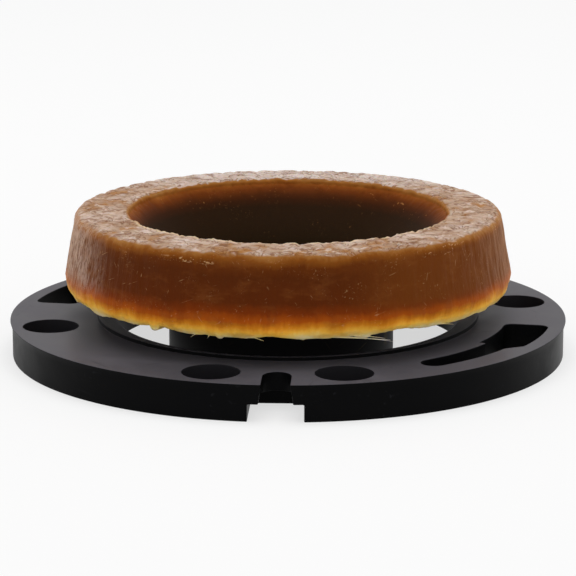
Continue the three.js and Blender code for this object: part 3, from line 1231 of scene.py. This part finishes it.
    def skin(self, place: Vector, normal: Vector, radius: float) -> float:
        """The fine unevenness of the skin, in millimetres.

        Args:
            place: The point on the plain form.
            normal: The plain form's normal there.
            radius: The point's distance from the axis.

        Returns:
            How far the skin stands out, by the face that the point is on.
        """
        up = smoothstep(normal.z, 0.5, 0.9) * smoothstep(place.z, self.top - 4 * MM, self.top)
        side = smoothstep(radius, self.foot_radius - 3 * MM, self.top_radius) * (1 - up)
        seen = smoothstep(place.z, self.top - 4.3 * MM, self.top - 2.5 * MM)
        mouth = (1 - smoothstep(radius, self.mouth_radius, self.mouth_radius + 3 * MM)) * seen
        lumps = self.lumps.at(place)
        wrinkle = abs(noise.noise(place * self.wrinkles.scale + Vector(self.wrinkle_seed)))
        crumple = min(wrinkle, 0.24) * self.wrinkles.depth - 0.25 + self.crumple.at(place)
        comb = Vector((place.x * 520, place.y * 520, place.z * 60))
        stripes = noise.noise(comb) * 0.16 + self.stripes.at(place)
        crumbs = sum(waver.at(place) for waver in self.crumbs)
        return up * (crumple + lumps) + side * (stripes + lumps) + mouth * crumbs

    def drips(self, angle: float) -> float:
        """How far the drips at the foot hang down at an angle, in millimetres."""
        hang = 0.0
        for centre, half_width, length in self.drip_places:
            away = abs((angle - math.radians(centre) + math.pi) % TAU - math.pi)
            hang += length * math.sqrt(max(0.0, 1 - (away / math.radians(half_width)) ** 2))
        return hang

    def build(self, horn: Horn, finish: SealingWax, film: WaxFilm, effects: Effects) -> Piece:
        """Builds and dresses the ring.

        Args:
            horn: The horn that the wax was cast round.
            finish: The wax's finish outside and on top.
            film: Its finish inside the mouth.
            effects: The shared shader groups.

        Returns:
            The finished piece.
        """
        ring = spun("wax_body", self.outline(horn), self.steps)
        mesh = ring.data
        offsets = [self.swell(vertex.co, vertex.normal) for vertex in mesh.vertices]
        inner = self.mouth_radius + self.film_edge
        lined = [math.hypot(face.center.x, face.center.y) < inner for face in mesh.polygons]
        for vertex, offset in zip(mesh.vertices, offsets):
            radius = math.hypot(vertex.co.x, vertex.co.y)
            if radius < self.mouth_radius + 1 * MM and vertex.co.z < horn.rim + self.clearance:
                vertex.co.x += horn.lean(vertex.co.z)
            else:
                vertex.co += offset
        take(ring)
        bpy.ops.object.shade_smooth()
        dress(ring, finish.build(effects), "wax_ring")
        mesh.materials.append(film.build(effects))
        for face, inside in zip(mesh.polygons, lined):
            face.material_index = int(inside)
        return ring


@dataclass
class WaxThreads:
    """The pale curls of flash that lie along the ring's foot and hang free at one end."""

    foot_radius: float = 69.0 * MM
    underside: float = 21 * MM
    rooted: float = 0.35 * MM
    bow: float = 0.9 * MM
    curls: tuple[tuple[float, float, float, float], ...] = (
        (274.4, 298.9, 2.6, 0.26), (279.4, 299.9, 3.3, 0.2), (284.4, 297.4, 1.9, 0.18),
        (261.9, 266.4, 1.2, 0.2), (250.9, 247.4, 1.5, 0.18), (253.4, 252.0, 1.3, 0.22),
        (310.4, 319.4, 1.4, 0.2), (42.4, 56.4, 1.9, 0.2),
        (92.0, 104.0, 2.2, 0.22), (158.0, 150.0, 1.5, 0.2), (176.0, 187.0, 1.6, 0.2),
    )
    smoothness: int = 4
    largest_hole: int = 12

    def curl(self, start: float, end: float, fall: float, thickness: float) -> Piece:
        """Draws one tapered curl along the foot.

        Args:
            start: The angle of its rooted end, in degrees round the ring.
            end: The angle of its free end, in degrees.
            fall: How far the free end hangs, in millimetres.
            thickness: Its thickness at the root, in millimetres.

        Returns:
            The curl, as a mesh.
        """
        deselect_all()
        bpy.ops.curve.primitive_nurbs_path_add(location=(0, 0, 0))
        strand = bpy.context.object
        spline = strand.data.splines[0]
        spline.use_endpoint_u = True
        count = len(spline.points)
        for i, point in enumerate(spline.points):
            share = i / (count - 1)
            radius = self.foot_radius + self.bow * math.sin(share * math.pi)
            height = self.underside + self.rooted - (fall * MM + self.rooted) * share ** 2.2
            point.co = (*polar(radius, math.radians(start + (end - start) * share)), height, 1.0)
            point.radius = 1.0 - 0.8 * share ** 1.5
        strand.data.bevel_depth = thickness * MM
        strand.data.bevel_resolution = 1
        strand.data.resolution_u = self.smoothness
        strand.data.use_fill_caps = True
        bpy.ops.object.convert(target="MESH")
        return bpy.context.object

    def build(self, material: Material) -> Piece:
        """Builds and dresses all of the curls as one piece.

        Args:
            material: The wax ring's own material.

        Returns:
            The finished piece.
        """
        strands = [self.curl(*sizes) for sizes in self.curls]
        take(strands[0])
        for strand in strands:
            strand.select_set(True)
        bpy.ops.object.join()
        threads = bpy.context.object
        threads.name = "wax_threads"
        bpy.ops.object.transform_apply(location=True, rotation=True, scale=True)
        whole_mesh_in_edit(threads)
        bpy.ops.mesh.remove_doubles(threshold=WELD)
        bpy.ops.mesh.fill_holes(sides=self.largest_hole)
        face_outwards()
        bpy.ops.object.shade_smooth()
        dress(threads, material)
        return threads


@dataclass
class Studio:
    """The pale floor, the soft light and the camera at the photograph's viewing angle."""

    focal_pixels: float = 2965.0
    distance: float = 925.5 * MM
    camera_height: float = 236.2 * MM
    azimuth: float = math.radians(2.4)
    aim_height: float = 20 * MM
    sensor: float = 36.0
    floor_side: float = 12.0
    sky_level: float = 0.72
    floor_glow: float = 0.65
    lamp_side: float = 0.9
    lamp_place: tuple[float, float, float] = (0, 0.15, 1.3)
    lamp_power: float = 5.0

    def camera(self) -> None:
        """Adds the camera and makes it the scene's own."""
        deselect_all()
        x, y = polar(self.distance, self.azimuth - QUARTER)
        place = Vector((x, y, self.camera_height))
        bpy.ops.object.camera_add(location=place)
        camera = bpy.context.object
        camera.data.sensor_width = self.sensor
        camera.data.lens = self.focal_pixels * self.sensor / IMAGE_SIDE
        camera.rotation_mode = "QUATERNION"
        aim = Vector((0, 0, self.aim_height)) - place
        camera.rotation_quaternion = aim.to_track_quat("-Z", "Y")
        bpy.context.scene.camera = camera

    def background_share(self, bench: NodeBench) -> Socket:
        """The mask of rays that see the white background: the camera's, mirrors' and glass's."""
        path = bench.put("ShaderNodeLightPath").outputs
        return bench.most(path["Is Camera Ray"], path["Is Glossy Ray"], path["Is Transmission Ray"])

    def world(self) -> None:
        """Sets a plain white sky that lights the object softly from all round."""
        world = bpy.data.worlds.new("studio_sky")
        bpy.context.scene.world = world
        world.use_nodes = True
        world.node_tree.nodes.clear()
        bench = NodeBench(world.node_tree)
        share = self.background_share(bench)
        level = bench.maths("MULTIPLY_ADD", share, 1.0 - self.sky_level, self.sky_level)
        sky = bench.put("ShaderNodeBackground", {"Color": WHITE, "Strength": level})
        bench.put("ShaderNodeOutputWorld", {"Surface": sky.outputs[0]})

    def floor(self) -> None:
        """Lays the pale floor under the object."""
        deselect_all()
        bpy.ops.mesh.primitive_plane_add(size=self.floor_side, location=(0, 0, 0))
        floor = bpy.context.object
        floor.name = "studio_floor"
        material = new_material("floor_paper")
        bench = NodeBench(material.node_tree)
        paper = bench.put("ShaderNodeBsdfDiffuse", {"Color": PAPER}).outputs[0]
        white = bench.put("ShaderNodeEmission", {"Color": WHITE, "Strength": 1.0}).outputs[0]
        share = bench.times(self.background_share(bench), self.floor_glow)
        shader = bench.put("ShaderNodeMixShader", {0: share, 1: paper, 2: white})
        bench.put("ShaderNodeOutputMaterial", {"Surface": shader.outputs[0]})
        floor.data.materials.append(material)

    def lamps(self) -> None:
        """Hangs one broad soft lamp over the object."""
        deselect_all()
        bpy.ops.object.light_add(type="AREA", location=self.lamp_place)
        lamp = bpy.context.object
        lamp.name = "soft_box"
        lamp.data.shape = "SQUARE"
        lamp.data.size = self.lamp_side
        lamp.data.energy = self.lamp_power

    def build(self) -> None:
        """Sets up the whole studio."""
        bpy.context.scene.view_settings.view_transform = "Standard"
        self.camera()
        self.world()
        self.floor()
        self.lamps()


def main() -> None:
    """Builds the studio, then each sub-assembly in order."""
    logging.basicConfig(level=logging.INFO, format="%(message)s")
    Studio().build()
    effects = Effects()
    horn = Horn()
    wax = WaxRing()
    smear = (*polar(horn.spout_radius, math.radians(-21.6)), 7 * MM)
    brown = SealingWax("sealing_wax", wax.underside, wax.top, wax.mouth_radius, wax.top_radius)
    lining = WaxFilm("wax_lining", wax.top, wax.mouth_radius)
    ring = wax.build(horn, brown, lining, effects)
    made = [
        FlangeRing().build(BlackPlastic("flange_black"), effects),
        horn.build(FunnelPlastic("horn_black", wax.underside, horn.rim, smear), effects),
        ring,
        WaxThreads().build(ring.data.materials[0]),
    ]
    for piece in made:
        LOG.info("%s: %d faces", piece.name, len(piece.data.polygons))


if __name__ == "__main__":
    main()
